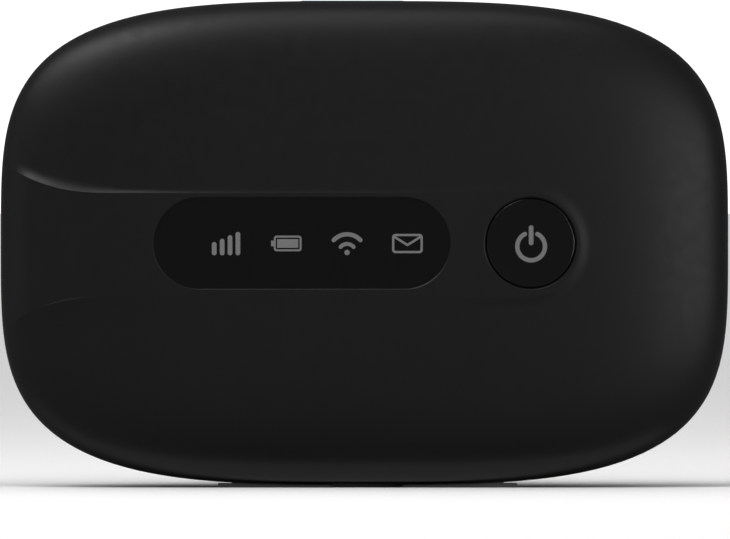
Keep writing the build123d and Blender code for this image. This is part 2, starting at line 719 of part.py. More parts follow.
def battery_connector():
    """Housing for the spring pins, standing on the board beside the bay."""
    body = block(CONNECTOR_X, (BOARD_BACK, CONNECTOR_BACK), (-CONNECTOR_HALF_UP, CONNECTOR_HALF_UP))
    for up in CONTACT_UPS:
        hole = Rot(0, 90, 0) * Cylinder(PIN_RADIUS + 0.05, 2.0)
        body -= Pos(CONNECTOR_X[1] - 1, CONTACT_Y, CENTRE_Z + up) * hole
    return body


def battery_spring_pins():
    """Four sprung pins that press on the battery's pads."""
    middle = -BATTERY_HALF_X - 0.05 - PIN_LENGTH / 2
    pin = Rot(0, 90, 0) * Cylinder(PIN_RADIUS, PIN_LENGTH)
    return [Pos(middle, CONTACT_Y, CENTRE_Z + up) * pin for up in CONTACT_UPS]


def sim_card():
    """Plastic card with one corner cut and a recess for its pads."""
    card = block(CARD_X, CARD_Y, CARD_UP)
    corner = Pos(CARD_X[0], CARD_UP[1]) * (Rot(0, 0, 45) * Rectangle(4, 4))
    card -= slab(corner, CARD_Y[0] - 1, CARD_Y[1] + 1)
    return card - sim_card_pads()


def sim_card_pads():
    """Gold contact patch on the card's front side."""
    x = (CARD_X[0] + CARD_PADS_X[0], CARD_X[0] + CARD_PADS_X[1])
    return block(x, (CARD_Y[0], CARD_Y[0] + 0.1), CARD_PADS_UP)


def sim_socket_base():
    """Insulating base of the SIM socket."""
    return block(SOCKET_X, (BOARD_BACK, SOCKET_FLOOR_Y), SOCKET_UP)


def sim_socket_springs():
    """Six contact springs on the base."""
    springs = []
    for x in (-17.6, -10.8):
        for up in (-12.0, -9.5, -7.0):
            y = (SOCKET_FLOOR_Y, SOCKET_FLOOR_Y + 0.14)
            springs.append(block((x - 1.4, x + 1.4), y, (up - 0.5, up + 0.5)))
    return springs


def sim_socket_cage():
    """Steel cage over the card, open towards +X."""
    cage = block(SOCKET_X, (SOCKET_FLOOR_Y, CAGE_BACK), SOCKET_UP)
    inside_x = (SOCKET_X[0] + CAGE_METAL, SOCKET_X[1] + 1)
    inside_up = (SOCKET_UP[0] + CAGE_METAL, SOCKET_UP[1] - CAGE_METAL)
    return cage - block(inside_x, (SOCKET_FLOOR_Y - 0.1, CAGE_BACK - CAGE_LID), inside_up)


# ---------------------------------------------------------------- fasteners and labels

def housing_screws():
    """Four screws through the floor into the front shell's bosses."""
    screws = []
    for x, up in BOSS_PLACES:
        head = rod(x, up, SCREW_HEAD_RADIUS, FLOOR_BACK, FLOOR_BACK + 0.8)
        head -= slab(Pos(x, up) * (Rectangle(1.7, 0.35) + Rectangle(0.35, 1.7)), 0.65, 2)
        screws.append(head + rod(x, up, SCREW_RADIUS, SCREW_TIP_Y, FLOOR_BACK))
    return screws


def label(half_x, up, front, back, x=0.0):
    """A blank sticker."""
    middle = (up[0] + up[1]) / 2
    return slab(Pos(x, middle) * RectangleRounded(2 * half_x, up[1] - up[0], 1.0), front, back)


# ---------------------------------------------------------------- all nodes

def all_nodes():
    """Every separate piece, by its name."""
    nodes = {
        "front_shell": front_shell(),
        "rear_housing": rear_housing(),
        "back_cover": back_cover(),
        "port_strip": port_strip(),
        "display_window": display_window(),
        "window_adhesive": window_adhesive(),
        "light_guide": light_guide(),
        "light_shield": light_shield(),
        "indicator_leds": leds([x for x, _ in ICONS.values()]),
        "power_button_cap": power_button_cap(),
        "power_icon_insert": power_icon_insert(),
        "power_button_leds": leds((BUTTON_X - 3.3, BUTTON_X + 3.3)),
        "power_switch_body": power_switch_body(),
        "power_switch_plunger": power_switch_plunger(),
        "wps_button_cap": wps_button_cap(),
        "wps_switch_body": wps_switch_body(),
        "wps_switch_plunger": wps_switch_plunger(),
        "reset_switch_body": reset_switch_body(),
        "reset_switch_plunger": reset_switch_plunger(),
        "main_board": main_board(),
        "modem_processor": chip(-16, 9.5, 12, 12, CHIP_HEIGHT),
        "memory_chip": chip(-4, 9.5, 8, 11, CHIP_HEIGHT),
        "rf_transceiver": chip(13.5, 13, 7, 7, CHIP_HEIGHT),
        "power_amplifiers": power_amplifiers(),
        "power_management_chip": chip(-15, -14, 7, 7, 0.9, front=True),
        "thermal_pad": block((-21, -11), (BOARD_BACK + CHIP_HEIGHT, CAN_BACK - CAN_METAL), (4.5, 14.5)),
        "modem_shield_can": open_can(*MODEM_CAN, BOARD_BACK, CAN_BACK),
        "rf_shield_can": open_can(*RF_CAN, BOARD_BACK, CAN_BACK),
        "power_shield_can": open_can(*POWER_CAN, BOARD_FRONT, POWER_CAN_FRONT),
        "board_passives": board_passives(),
        "rf_test_sockets": rf_test_sockets(),
        "usb_socket_shell": usb_socket_shell(),
        "usb_socket_tongue": usb_socket_tongue(),
        "usb_contacts": usb_contacts(),
        "main_antenna_carrier": antenna_carrier(-ANTENNA_X),
        "main_antenna": antenna_trace(-ANTENNA_X),
        "diversity_antenna_carrier": antenna_carrier(ANTENNA_X),
        "diversity_antenna": antenna_trace(ANTENNA_X),
        "wifi_antenna": wifi_antenna(),
        "antenna_springs": antenna_springs(),
        "battery_cell": battery_cell(),
        "battery_end_cap": battery_end_cap(),
        "battery_contacts": battery_contacts(),
        "battery_label": label(20, (-15, 15), BATTERY_BACK, BATTERY_BACK + 0.1, x=1.5),
        "battery_connector": battery_connector(),
        "battery_spring_pins": battery_spring_pins(),
        "sim_card": sim_card(),
        "sim_card_pads": sim_card_pads(),
        "sim_socket_base": sim_socket_base(),
        "sim_socket_springs": sim_socket_springs(),
        "sim_socket_cage": sim_socket_cage(),
        "housing_screws": housing_screws(),
        "rating_label": label(22, (1, 17), FLOOR_BACK, FLOOR_BACK + 0.08),
    }
    for name, (x, icon) in ICONS.items():
        nodes[name] = icon_inlay(x, icon)
    return nodes


os.makedirs("parts", exist_ok=True)
for node, shape in all_nodes().items():
    solids = Compound(children=shape) if isinstance(shape, list) else shape
    export_step(solids, f"parts/{node}.step")
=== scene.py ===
import bmesh
import bpy
import json
import math
from mathutils import Matrix, Vector
from mathutils.geometry import delaunay_2d_cdt, tessellate_polygon

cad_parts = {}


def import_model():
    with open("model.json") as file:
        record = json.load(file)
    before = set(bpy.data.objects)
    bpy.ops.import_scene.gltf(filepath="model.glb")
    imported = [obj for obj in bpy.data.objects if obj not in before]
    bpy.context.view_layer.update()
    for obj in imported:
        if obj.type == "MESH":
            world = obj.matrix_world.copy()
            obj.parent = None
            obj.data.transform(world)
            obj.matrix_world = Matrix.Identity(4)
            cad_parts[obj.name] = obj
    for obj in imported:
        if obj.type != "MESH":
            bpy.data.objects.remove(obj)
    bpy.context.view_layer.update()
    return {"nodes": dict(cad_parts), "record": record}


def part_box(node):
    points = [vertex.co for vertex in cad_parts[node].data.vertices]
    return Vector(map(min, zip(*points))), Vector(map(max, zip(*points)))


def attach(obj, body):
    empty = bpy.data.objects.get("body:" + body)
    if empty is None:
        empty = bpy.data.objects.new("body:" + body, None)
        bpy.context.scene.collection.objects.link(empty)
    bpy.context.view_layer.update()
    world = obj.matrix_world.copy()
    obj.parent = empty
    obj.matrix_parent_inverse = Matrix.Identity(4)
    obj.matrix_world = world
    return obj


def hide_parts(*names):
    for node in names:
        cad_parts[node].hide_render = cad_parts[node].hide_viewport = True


# Mobile hotspot: the looks. Shapes are worked out in millimetres, x to the right, y to the back and
# "up" from the middle of the face, and turned into metres where a mesh is made.

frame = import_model()
scene = bpy.context.scene
MM = 0.001


def mm_box(node):
    """A CAD node's lowest and highest corners in millimetres."""
    low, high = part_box(node)
    return low / MM, high / MM


# ---------------------------------------------------------------- sizes, from the frame

_, HOUSING_HIGH = mm_box("rear_housing")
WINDOW_LOW, WINDOW_HIGH = mm_box("display_window")
BUTTON_LOW, BUTTON_HIGH = mm_box("power_button_cap")
SCREWS_LOW, SCREWS_HIGH = mm_box("housing_screws")
SOCKET_LOW, SOCKET_HIGH = mm_box("usb_socket_shell")

CENTRE_Z = (WINDOW_LOW.z + WINDOW_HIGH.z) / 2
HALF_WIDTH = HOUSING_HIGH.x
HALF_HEIGHT = HOUSING_HIGH.z - CENTRE_Z
OUTLINE_POWER_X = 3.36
OUTLINE_POWER_UP = 3.76
MEAN_POWER = 3.5

PARTING_Y = -0.8
FACE_Y = -6.88
WINDOW_SINK = 0.2
BAND_Y = WINDOW_LOW.y - WINDOW_SINK
FACE_SHARPNESS = 6
BAND_SHARPNESS = 8
WALL = 1.2

# Raised band
BAND_UP = -0.15
BAND_HALF = 6.34
FLARE_START_X = -31.0
FLARE_LENGTH = 12.4
UPPER_FLARE = (2.9, 2.6)
LOWER_FLARE = (3.4, 2.75)
SEAM_X = -27.0
BAND_END_SHIFT = 0.35
BAND_FADE = 4.0

# Wall between the band and the face: its widths, and the stretches over which they change
LEFT_WALL = 1.8
TOP_WALL = 0.6
BOTTOM_WALL = 5.0
RIGHT_WALL = 1.8
LARGEST_WALL_SHARE = 0.45
NARROWING_START_X = FLARE_START_X - 7
NARROWING_LENGTH = 10.0
ROUND_END_START_X = 2.0
ROUND_END_LENGTH = 14.0

# Fine raised lip under the band near the left edge
LIP_HEIGHT = 0.12
LIP_WIDTH = 0.2
LIP_START_X = -42.0
LIP_END_X = -32.0
LIP_EASE = 4.0

# Window seat
WINDOW_X = (WINDOW_LOW.x + WINDOW_HIGH.x) / 2
WINDOW_GAP = 0.02
WINDOW_LENGTH = WINDOW_HIGH.x - WINDOW_LOW.x + 2 * WINDOW_GAP
WINDOW_HEIGHT = WINDOW_HIGH.z - WINDOW_LOW.z + 2 * WINDOW_GAP
LEDGE_Y = -5.95
LEDGE_WIDTH = 1.22
PAD_BORDER = 1.15
PAD_Y = -5.2
CHAMFER = 0.12
CHAMFER_DEPTH = 0.065

# Button seat
BUTTON_X = (BUTTON_LOW.x + BUTTON_HIGH.x) / 2
BAND_END_X = BUTTON_X - BAND_END_SHIFT
BUTTON_HOLE_RADIUS = 5.68
COUNTERBORE_RADIUS = 6.35
COUNTERBORE_Y = -5.65
GUIDE_RADIUS = 7.15
GUIDE_Y = -4.7

# Inside of the front shell
INNER_CROWN_Y = -5.65
INNER_CROWN_HALF_WIDTH = 30.0
INNER_ROUNDNESS = 1.2
SCREW_HEAD_RADIUS = 1.5
BOSS_RADIUS = 2.0
BOSS_BORE = 0.8
BOSS_FRONT = -5.4
BOSS_BACK = -0.4

# Opening for the charging plug, cut from below the ground up
PORT_SIDE_GAP = 0.55
PORT_FRONT_GAP = 0.3
PORT_BOTTOM = -1.0
PORT_TOP = 3.4

# Mesh density
RIDGE_END_STEPS = 44
STRAIGHT_STEPS = 48
ARC_STEPS = 56
BAND_ROWS = 28
WALL_SAMPLES = 12
FACE_SAMPLES = 30
LOOP_STEPS = 128
BOSS_STEPS = 32
INNER_STEPS = 12
FINE_STEPS = 400
FILL_SPACING = 0.9
VERTEX_DIGITS = 5
MERGE_DISTANCE = 1e-6
SHARP_ANGLE = math.radians(38)

# Materials: the depth of the fine relief, in metres, and the range that most of a noise lies in
RELIEF = 0.00001
NOISE_RANGE = (0.3, 0.7)

# Rounds of halving, or of closing in, until a point is exact enough
SOLVE_ROUNDS = 50

# Floor, background and the floor's own light, in metres. The seen values are for the camera's own
# rays, and the unseen ones for the light that reaches the object.
FLOOR_REACH = 8.0
FLOOR_SEEN = 0.8
FLOOR_UNSEEN = 0.14
# Painted shade in the floor's colour: how far from the object it reaches, and how dark it gets.
SHADE_DISTANCE = 0.25
DEEPEST_SHADE = 0.2
WORLD_SEEN = 1.2
WORLD_UNSEEN = 0.13
FLOOR_LIGHT_WIDTH = math.radians(84)
FLOOR_LIGHT_TILT = math.radians(46)
FLOOR_LIGHT_POWER = 2.9

# Softboxes and camera, in metres, apart from the sensor, which is in millimetres
SOFTBOX_SIZE = 0.25
SOFTBOX_DISTANCE = 0.6
CAMERA_DISTANCE = 2.5
CAMERA_RAISED = math.radians(0.4)
CAMERA_X = 0.00007
CAMERA_HEIGHT = 0.0269
VIEW_WIDTH = 0.09024
SENSOR_WIDTH = 36.0


# ---------------------------------------------------------------- outline and rounding

def superellipse_radius(angle):
    """Distance from the middle to the unit outline in one direction, by halving."""
    low, high = 0.5, 1.5
    for _ in range(SOLVE_ROUNDS):
        radius = (low + high) / 2
        across = abs(radius * math.cos(angle)) ** OUTLINE_POWER_X
        inside = across + abs(radius * math.sin(angle)) ** OUTLINE_POWER_UP < 1
        low, high = (radius, high) if inside else (low, radius)
    return low


def outline_at(angle, inset=0.0, level=1.0):
    """A point of the outline, stepped in by inset, at one level of its rounding."""
    radius = superellipse_radius(angle)
    half_width = (HALF_WIDTH - inset) * level ** (1 / OUTLINE_POWER_X)
    half_height = (HALF_HEIGHT - inset) * level ** (1 / OUTLINE_POWER_UP)
    return half_width * radius * math.cos(angle), half_height * radius * math.sin(angle)


def outline_up(x):
    """Half height of the outline at x."""
    return HALF_HEIGHT * max(0.0, 1 - abs(x / HALF_WIDTH) ** OUTLINE_POWER_X) ** (1 / OUTLINE_POWER_UP)


def side_bulge(up):
    """How far the outline's side has come in at this height."""
    return HALF_WIDTH * (1 - (1 - abs(up / HALF_HEIGHT) ** OUTLINE_POWER_UP) ** (1 / OUTLINE_POWER_X))


def outline_level(x, up):
    """0 in the middle and 1 on the outline."""
    return abs(x / HALF_WIDTH) ** OUTLINE_POWER_X + abs(up / HALF_HEIGHT) ** OUTLINE_POWER_UP


def rounded_depth(x, up, crown, sharpness):
    """Depth of a pillow surface that rounds from its crown back to the parting line."""
    level = min(1.0, outline_level(x, up))
    return PARTING_Y + (crown - PARTING_Y) * math.sqrt(1 - level ** (sharpness / MEAN_POWER))


def smooth(value):
    """Eases from 0 to 1."""
    value = min(1.0, max(0.0, value))
    return value * value * (3 - 2 * value)


def face_depth(x, up):
    return rounded_depth(x, up, FACE_Y, FACE_SHARPNESS)


def band_depth(x, up):
    """The band stands in front of the face, and sinks into it at the left edge."""
    face = face_depth(x, up)
    stand = rounded_depth(x, up, BAND_Y, BAND_SHARPNESS) - face
    return face + stand * smooth((x + HALF_WIDTH) / BAND_FADE)


def flare(x, rise, power):
    """Half height of the band at x: level, then wider towards the left edge."""
    share = max(0.0, (FLARE_START_X - x) / FLARE_LENGTH)
    return BAND_HALF + rise * share ** power


# ---------------------------------------------------------------- mesh helpers

def placed(name, data):
    """A new object in the scene."""
    made = bpy.data.objects.new(name, data)
    scene.collection.objects.link(made)
    return made


class Shape:
    """Collects shared vertices, faces and sharp edges for one mesh."""

    def __init__(self):
        self.points = []
        self.index = {}
        self.faces = []
        self.sharp = set()

    def vertex(self, x, y, up):
        key = tuple(round(value, VERTEX_DIGITS) for value in (x, y, up))
        if key not in self.index:
            self.index[key] = len(self.points)
            self.points.append(key)
        return self.index[key]

    def face(self, corners):
        corners = [c for i, c in enumerate(corners) if c != corners[i - 1]]
        if len(corners) > 2:
            self.faces.append(corners)

    def grid(self, rows):
        """Quads between rows of vertices."""
        for row, following in zip(rows, rows[1:]):
            for i in range(len(row) - 1):
                self.face([row[i], row[i + 1], following[i + 1], following[i]])

    def ring(self, loop, following):
        """Quads between two closed loops of vertices."""
        self.grid([loop + loop[:1], following + following[:1]])

    def mark_sharp(self, chain, closed=False):
        ends = chain[1:] + chain[:1] if closed else chain[1:]
        self.sharp.update(tuple(sorted(pair)) for pair in zip(chain, ends))

    def flat(self, *loops):
        """Fills a flat outline with holes."""
        joined = [v for loop in loops for v in loop]
        flat_loops = [[Vector((self.points[v][0], self.points[v][2], 0)) for v in loop] for loop in loops]
        for corners in tessellate_polygon(flat_loops):
            self.face([joined[c] for c in corners])

    def band(self, outer, *holes):
        """Fills the middle of the band round its holes, with points inside to keep it smooth."""
        loops = [outer, *holes]
        chain = [v for loop in loops for v in loop]
        edges = []
        for loop in loops:
            start = chain.index(loop[0])
            edges += [(start + i, start + (i + 1) % len(loop)) for i in range(len(loop))]
        chain += [self.vertex(*band_point(x, up)) for x, up in band_places()]
        seen_flat = [Vector((self.points[v][0], self.points[v][2])) for v in chain]
        _, _, faces, sources, *_ = delaunay_2d_cdt(seen_flat, edges, [], 0, MERGE_DISTANCE)
        for corners in faces:
            corners = [sources[c][0] for c in corners]
            middle = sum((seen_flat[c] for c in corners), Vector((0, 0))) / 3
            if not (in_window(*middle) or in_button(*middle)):
                self.face([chain[c] for c in corners])

    def build(self, name):
        """Makes the object, with its normals outward."""
        mesh = bpy.data.meshes.new(name)
        places = [(x * MM, y * MM, (CENTRE_Z + up) * MM) for x, y, up in self.points]
        mesh.from_pydata(places, [], self.faces)
        mesh.validate()
        piece = placed(name, mesh)
        outward(mesh)
        mesh.shade_smooth()
        mesh.set_sharp_from_angle(angle=SHARP_ANGLE)
        for edge in mesh.edges:
            if tuple(sorted(edge.vertices)) in self.sharp:
                edge.use_edge_sharp = True
        return piece


def outward(mesh):
    """Turns every face outward."""
    work = bmesh.new()
    work.from_mesh(mesh)
    bmesh.ops.recalc_face_normals(work, faces=work.faces)
    work.to_mesh(mesh)
    work.free()


def band_point(x, up):
    return x, band_depth(x, up), up


def in_window(x, up, grow=0.0):
    """Whether a place is over the window's hole."""
    half = (WINDOW_LENGTH - WINDOW_HEIGHT) / 2
    return math.hypot(max(0.0, abs(x - WINDOW_X) - half), up) < WINDOW_HEIGHT / 2 + CHAMFER + grow


def in_button(x, up, grow=0.0):
    """Whether a place is over the button's hole."""
    return math.hypot(x - BUTTON_X, up) < BUTTON_HOLE_RADIUS + CHAMFER + grow


def band_places():
    """A lattice of places on the band, clear of its edges and holes."""
    margin = FILL_SPACING / 2
    places = []
    for column in range(int((BAND_END_X + BAND_HALF - SEAM_X) / FILL_SPACING)):
        x = SEAM_X + FILL_SPACING * (column + 1)
        room = BAND_HALF
        if x > BAND_END_X:
            room = math.sqrt(max(0.0, BAND_HALF ** 2 - (x - BAND_END_X) ** 2))
        for row in range(int(2 * BAND_HALF / FILL_SPACING)):
            up = BAND_UP - BAND_HALF + FILL_SPACING * (row + 0.5)
            clear = abs(up - BAND_UP) < room - margin
            if clear and not (in_window(x, up, margin) or in_button(x, up, margin)):
                places.append((x, up))
    return places


def stadium(length, height, x):
    """Points of a round-ended bar, anticlockwise from its lower right."""
    radius = height / 2
    half = length / 2 - radius
    end_steps = LOOP_STEPS // 2
    points = []
    for side, start in ((1, -90), (-1, 90)):
        for step in range(end_steps + 1):
            angle = math.radians(start + 180 * step / end_steps)
            points.append((x + side * half + radius * math.cos(angle), radius * math.sin(angle)))
    return points


def circle(x, radius, up=0.0, steps=LOOP_STEPS):
    """Points of a circle, anticlockwise from its right."""
    turns = [2 * math.pi * step / steps for step in range(steps)]
    return [(x + radius * math.cos(turn), up + radius * math.sin(turn)) for turn in turns]


def share_along(points):
    """Each point's share of the whole length of a line."""
    lengths = [0.0]
    for (x0, up0), (x1, up1) in zip(points, points[1:]):
        lengths.append(lengths[-1] + math.hypot(x1 - x0, up1 - up0))
    return [length / lengths[-1] for length in lengths]


def resample(points, shares):
    """Points at the given shares of a line's length."""
    own = share_along(points)
    made = []
    place = 0
    for share in shares:
        while place < len(own) - 2 and own[place + 1] < share:
            place += 1
        part = (share - own[place]) / (own[place + 1] - own[place])
        (x0, up0), (x1, up1) = points[place], points[place + 1]
        made.append((x0 + part * (x1 - x0), up0 + part * (up1 - up0)))
    return made


# ---------------------------------------------------------------- front shell

def band_end_rows():
    """The band's left end, from the seam to the left edge: rows of (x, up) from bottom to top.
    The first row is straight, and the last lies on the outline."""
    rows = []
    for step in range(RIDGE_END_STEPS + 1):
        share = 1 - (1 - step / RIDGE_END_STEPS) ** 2
        line_x = SEAM_X + (-HALF_WIDTH - SEAM_X) * share
        bend = share ** 4
        ends = []
        for side, (rise, power) in ((-1, LOWER_FLARE), (1, UPPER_FLARE)):
            x = line_x
            for _ in range(SOLVE_ROUNDS):
                up = BAND_UP + side * flare(x, rise, power)
                x = line_x + bend * side_bulge(up)
            ends.append(up)
        row = []
        for place in range(BAND_ROWS + 1):
            up = ends[0] + (ends[1] - ends[0]) * place / BAND_ROWS
            row.append((line_x + bend * side_bulge(up), up))
        rows.append(row)
    return rows


def outline_to_match(ridge_end, side):
    """Outline points above or below the band's left end, spaced as its ridge is."""
    meeting = ridge_end[0]
    start = math.atan2(meeting[1] / HALF_HEIGHT, meeting[0] / HALF_WIDTH)
    finish = math.atan2(side * outline_up(SEAM_X) / HALF_HEIGHT, SEAM_X / HALF_WIDTH)
    if side < 0:
        start, finish = start % (2 * math.pi), finish % (2 * math.pi)
    fine = [outline_at(start + (finish - start) * i / FINE_STEPS) for i in range(FINE_STEPS + 1)]
    return resample(fine, share_along(ridge_end))


def ray_to_outline(angle):
    """Where a ray from the middle of the band's round end meets the outline."""
    low, high = 0.0, 2 * HALF_WIDTH
    for _ in range(SOLVE_ROUNDS):
        reach = (low + high) / 2
        x = BAND_END_X + reach * math.cos(angle)
        up = BAND_UP + reach * math.sin(angle)
        low, high = (reach, high) if outline_level(x, up) < 1 else (low, reach)
    return BAND_END_X + low * math.cos(angle), BAND_UP + low * math.sin(angle)


def ridge_and_outline(rows):
    """The whole ridge, from the left edge over the top and back, and its matching outline points."""
    upper_end = [row[-1] for row in reversed(rows)]
    lower_end = [row[0] for row in reversed(rows)]
    ridge = list(upper_end)
    edge = outline_to_match(upper_end, 1)
    straight = [SEAM_X + (BAND_END_X - SEAM_X) * i / STRAIGHT_STEPS for i in range(1, STRAIGHT_STEPS)]
    for x in straight:
        ridge.append((x, BAND_UP + BAND_HALF))
        edge.append((x, outline_up(x)))
    for step in range(ARC_STEPS + 1):
        angle = math.pi / 2 - math.pi * step / ARC_STEPS
        ridge.append((BAND_END_X + BAND_HALF * math.cos(angle), BAND_UP + BAND_HALF * math.sin(angle)))
        edge.append(ray_to_outline(angle))
    for x in reversed(straight):
        ridge.append((x, BAND_UP - BAND_HALF))
        edge.append((x, -outline_up(x)))
    ridge += reversed(lower_end)
    edge += reversed(outline_to_match(lower_end, -1))
    return ridge, edge


def wall_width(x, up):
    """Width of the wall beside one point of the ridge: narrow above, wide below and on the right."""
    above = LEFT_WALL + (TOP_WALL - LEFT_WALL) * smooth((x - NARROWING_START_X) / NARROWING_LENGTH)
    side = above + (BOTTOM_WALL - above) * smooth((1 - (up - BAND_UP) / BAND_HALF) / 2)
    return side + (RIGHT_WALL - side) * round_end(x)


def round_end(x):
    """0 along most of the ridge, 1 round its right end."""
    return smooth((x - ROUND_END_START_X) / ROUND_END_LENGTH)


def lip_height(x, up):
    """Height of the lip beside one point of the ridge: none above the band."""
    if up > BAND_UP:
        return 0.0
    return LIP_HEIGHT * smooth((x - LIP_START_X) / LIP_EASE) * smooth((LIP_END_X - x) / LIP_EASE)


def face_samples(start, finish):
    """Points from the ridge to the outline: the wall, hollow or rounded, then the rounded face."""
    length = math.dist(start, finish)
    wall = min(wall_width(*start), LARGEST_WALL_SHARE * length)
    roundness = round_end(start[0])
    rise = band_depth(*start) - face_depth(*start)
    lip = lip_height(*start)
    places = [wall * (i / WALL_SAMPLES) ** 2 for i in range(WALL_SAMPLES)]
    places += [wall + (length - wall) * (1 - (1 - i / FACE_SAMPLES) ** 2) for i in range(FACE_SAMPLES + 1)]
    samples = []
    for place in places:
        share = place / length if length else 0.0
        x = start[0] + share * (finish[0] - start[0])
        up = start[1] + share * (finish[1] - start[1])
        left = max(0.0, 1 - place / wall) if wall else 0.0
        height = left ** 2 + (smooth(left) ** 2 - left ** 2) * roundness
        proud = lip * smooth(place / LIP_WIDTH) * left ** 2
        samples.append((x, face_depth(x, up) + rise * height - proud, up))
    return samples


def seat(shape, mouth, steps):
    """A stepped hole: a mouth in the band, then steps, each a loop of points and a depth.
    Gives back its first and last loops."""
    loops = [[shape.vertex(*band_point(x, up)) for x, up in mouth]]
    loops += [[shape.vertex(x, y, up) for x, up in loop] for loop, y in steps]
    for loop, following in zip(loops, loops[1:]):
        shape.ring(loop, following)
        shape.mark_sharp(following, closed=True)
    shape.mark_sharp(loops[0], closed=True)
    return loops[0], loops[-1]


def window_loop(grow):
    return stadium(WINDOW_LENGTH + 2 * grow, WINDOW_HEIGHT + 2 * grow, WINDOW_X)


def boss_tube(shape, x, up):
    """A screw boss, as a closed tube."""
    section = [
        (BOSS_RADIUS, BOSS_FRONT),
        (BOSS_RADIUS, BOSS_BACK),
        (BOSS_BORE, BOSS_BACK),
        (BOSS_BORE, BOSS_FRONT),
    ]
    loops = []
    for radius, y in section:
        loops.append([shape.vertex(px, y, pu) for px, pu in circle(x, radius, up, BOSS_STEPS)])
    for loop, following in zip(loops, loops[1:] + loops[:1]):
        shape.ring(loop, following)
        shape.mark_sharp(loop, closed=True)


def carve(piece, low, high):
    """Cuts a box, given by its corners, out of a closed piece."""
    mesh = bpy.data.meshes.new("cutter")
    work = bmesh.new()
    size = Matrix.Diagonal((high - low) * MM).to_4x4()
    bmesh.ops.create_cube(work, size=1, matrix=Matrix.Translation((low + high) / 2 * MM) @ size)
    work.to_mesh(mesh)
    work.free()
    cutter = placed("cutter", mesh)
    cut = piece.modifiers.new("cut", "BOOLEAN")
    cut.operation = "DIFFERENCE"
    cut.solver = "EXACT"
    cut.object = cutter
    carved = piece.evaluated_get(bpy.context.evaluated_depsgraph_get())
    cut_mesh = bpy.data.meshes.new_from_object(carved)
    piece.modifiers.clear()
    piece.data = cut_mesh
    bpy.data.objects.remove(cutter)


def window_seat(shape):
    """The window's hole: a ledge that it lies on, and a pad round the hole behind it."""
    steps = [
        (window_loop(0), BAND_Y + CHAMFER_DEPTH),
        (window_loop(0), LEDGE_Y),
        (window_loop(-LEDGE_WIDTH), LEDGE_Y),
        (window_loop(-LEDGE_WIDTH), PAD_Y),
        (window_loop(PAD_BORDER), PAD_Y),
        (window_loop(PAD_BORDER), INNER_CROWN_Y),
    ]
    return seat(shape, window_loop(CHAMFER), steps)


def button_seat(shape):
    """The button's hole: a counterbore for its flange, with a guide ring round it."""
    hole, counterbore, guide = (
        circle(BUTTON_X, radius) for radius in (BUTTON_HOLE_RADIUS, COUNTERBORE_RADIUS, GUIDE_RADIUS)
    )
    steps = [
        (hole, BAND_Y + CHAMFER_DEPTH),
        (hole, COUNTERBORE_Y),
        (counterbore, COUNTERBORE_Y),
        (counterbore, GUIDE_Y),
        (guide, GUIDE_Y),
        (guide, INNER_CROWN_Y),
    ]
    return seat(shape, circle(BUTTON_X, BUTTON_HOLE_RADIUS + CHAMFER), steps)


def inner_loops(shape):
    """The inside of the shell: loops from its rim to the edge of its flat crown."""
    angles = [2 * math.pi * (i + 0.5) / LOOP_STEPS for i in range(LOOP_STEPS)]
    crown_level = (INNER_CROWN_HALF_WIDTH / (HALF_WIDTH - WALL)) ** OUTLINE_POWER_X
    loops = []
    for step in range(INNER_STEPS + 1):
        turn = math.pi / 2 * step / INNER_STEPS
        level = crown_level + (1 - crown_level) * math.cos(turn) ** INNER_ROUNDNESS
        y = PARTING_Y + (INNER_CROWN_Y - PARTING_Y) * math.sin(turn)
        places = [outline_at(angle, WALL, level) for angle in angles]
        loops.append([shape.vertex(x, y, up) for x, up in places])
    for loop, following in zip(loops, loops[1:]):
        shape.ring(loop, following)
    return loops


def carve_port(piece):
    """Opens the lower edge for the charging plug."""
    low = Vector((SOCKET_LOW.x - PORT_SIDE_GAP, SOCKET_LOW.y - PORT_FRONT_GAP, PORT_BOTTOM))
    high = Vector((SOCKET_HIGH.x + PORT_SIDE_GAP, SOCKET_HIGH.y, PORT_TOP))
    carve(piece, low, high)


def front_shell():
    """The front half of the case as one closed shell, outside and inside."""
    shape = Shape()
    rows = band_end_rows()
    band_end = [[shape.vertex(x, band_depth(x, up), up) for x, up in row] for row in rows]
    shape.grid(band_end)
    ridge, edge = ridge_and_outline(rows)
    rays = []
    for start, finish in zip(ridge, edge):
        rays.append([shape.vertex(*sample) for sample in face_samples(start, finish)])
    shape.grid(rays)
    ridge_chain = [ray[0] for ray in rays]
    shape.mark_sharp(ridge_chain)

    window_front, window_back = window_seat(shape)
    button_front, button_back = button_seat(shape)
    flat_ridge = ridge_chain[RIDGE_END_STEPS:len(ridge_chain) - RIDGE_END_STEPS]
    shape.band(flat_ridge + band_end[0][1:-1], window_front, button_front)

    rim = [ray[-1] for ray in rays] + band_end[-1][1:-1]
    inner = inner_loops(shape)
    shape.flat(rim, inner[0])
    shape.mark_sharp(rim, closed=True)
    shape.mark_sharp(inner[0], closed=True)
    shape.flat(inner[-1], window_back, button_back)
    for x in (SCREWS_LOW.x + SCREW_HEAD_RADIUS, SCREWS_HIGH.x - SCREW_HEAD_RADIUS):
        for z in (SCREWS_LOW.z + SCREW_HEAD_RADIUS, SCREWS_HIGH.z - SCREW_HEAD_RADIUS):
            boss_tube(shape, x, z - CENTRE_Z)
    piece = shape.build("front_shell_skin")
    carve_port(piece)
    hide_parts("front_shell")
    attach(piece, "housing")
    return piece


# ---------------------------------------------------------------- materials

def node_material(name):
    """A new material, its tree and its shader."""
    material = bpy.data.materials.new(name)
    material.use_nodes = True
    tree = material.node_tree
    return material, tree, tree.nodes["Principled BSDF"]


